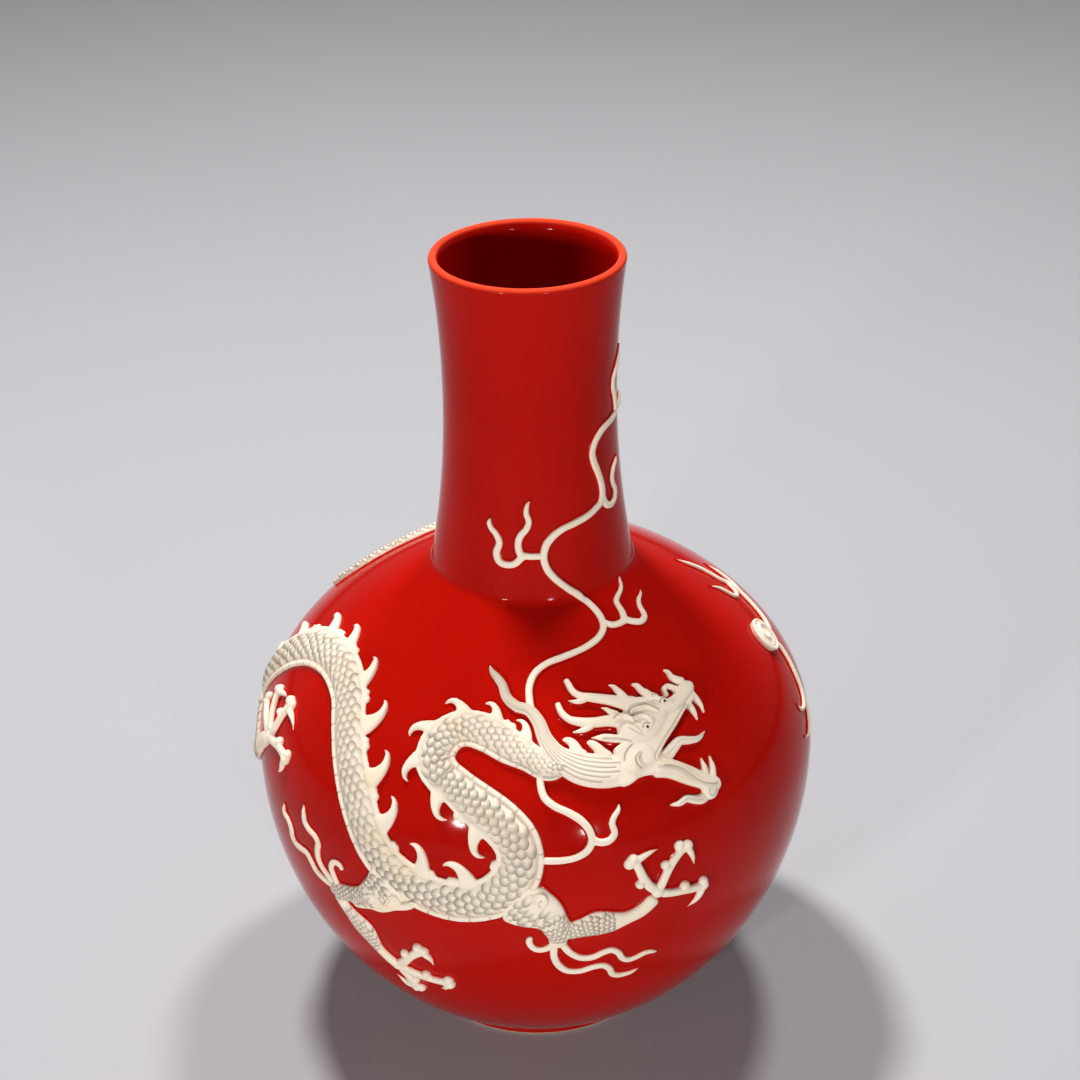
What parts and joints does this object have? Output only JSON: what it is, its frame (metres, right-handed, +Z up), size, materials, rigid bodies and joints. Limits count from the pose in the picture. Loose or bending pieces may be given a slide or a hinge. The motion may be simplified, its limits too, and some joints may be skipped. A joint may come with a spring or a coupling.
{
  "type": "globular long-necked porcelain vase",
  "caption": "Tall-necked globular red-glazed porcelain vase with an applied white biscuit relief of a dragon chasing a flaming pearl, on a low foot ring.",
  "frame": {"origin": "centre of the foot ring, on the plane that the vase stands on", "axes": "+Z up along the axis of the wall, -Y towards the dragon's front side"},
  "size_m": [0.3849, 0.3877, 0.5525],
  "materials": {
    "red_glaze": "gloss coral-red glaze",
    "ivory_biscuit": "matte unglazed ivory biscuit with a thin grey wash in the grooves"
  },
  "bodies": {
    "root": {"lower_belly": "red_glaze", "upper_belly": "red_glaze", "neck": "red_glaze", "dragon_body_fore": "ivory_biscuit", "dragon_body_loop": "ivory_biscuit", "dragon_body_chest": "ivory_biscuit", "dragon_body_shoulder": "ivory_biscuit", "dragon_body_flank": "ivory_biscuit", "dragon_body_rear": "ivory_biscuit", "dragon_tail": "ivory_biscuit", "dragon_skull": "ivory_biscuit", "dragon_lower_jaw": "ivory_biscuit", "dragon_tongue": "ivory_biscuit", "dragon_beard": "ivory_biscuit", "dragon_horn_upper": "ivory_biscuit", "dragon_horn_lower": "ivory_biscuit", "dragon_ear": "ivory_biscuit", "dragon_mane": "ivory_biscuit", "forepaw_right": "ivory_biscuit", "forepaw_left": "ivory_biscuit", "hind_paw_left": "ivory_biscuit", "hind_paw_right": "ivory_biscuit", "foreleg_right": "ivory_biscuit", "foreleg_left": "ivory_biscuit", "hind_leg_left": "ivory_biscuit", "hind_leg_right": "ivory_biscuit", "foreleg_right_flame_upper": "ivory_biscuit", "foreleg_right_flame_lower": "ivory_biscuit", "foreleg_right_curl": "ivory_biscuit", "foreleg_left_flame_upper": "ivory_biscuit", "foreleg_left_flame_lower": "ivory_biscuit", "foreleg_left_curl": "ivory_biscuit", "hind_leg_right_flame": "ivory_biscuit", "ribbon_stem": "ivory_biscuit", "ribbon_neck_tendril": "ivory_biscuit", "ribbon_right_tendril": "ivory_biscuit", "ribbon_left_fork": "ivory_biscuit", "ribbon_right_fork": "ivory_biscuit", "ribbon_under_chin": "ivory_biscuit", "ribbon_back": "ivory_biscuit", "ribbon_low_back": "ivory_biscuit", "flaming_pearl": "ivory_biscuit", "pearl_flame_upper": "ivory_biscuit", "pearl_flame_lower": "ivory_biscuit"}
  },
  "joints": []
}
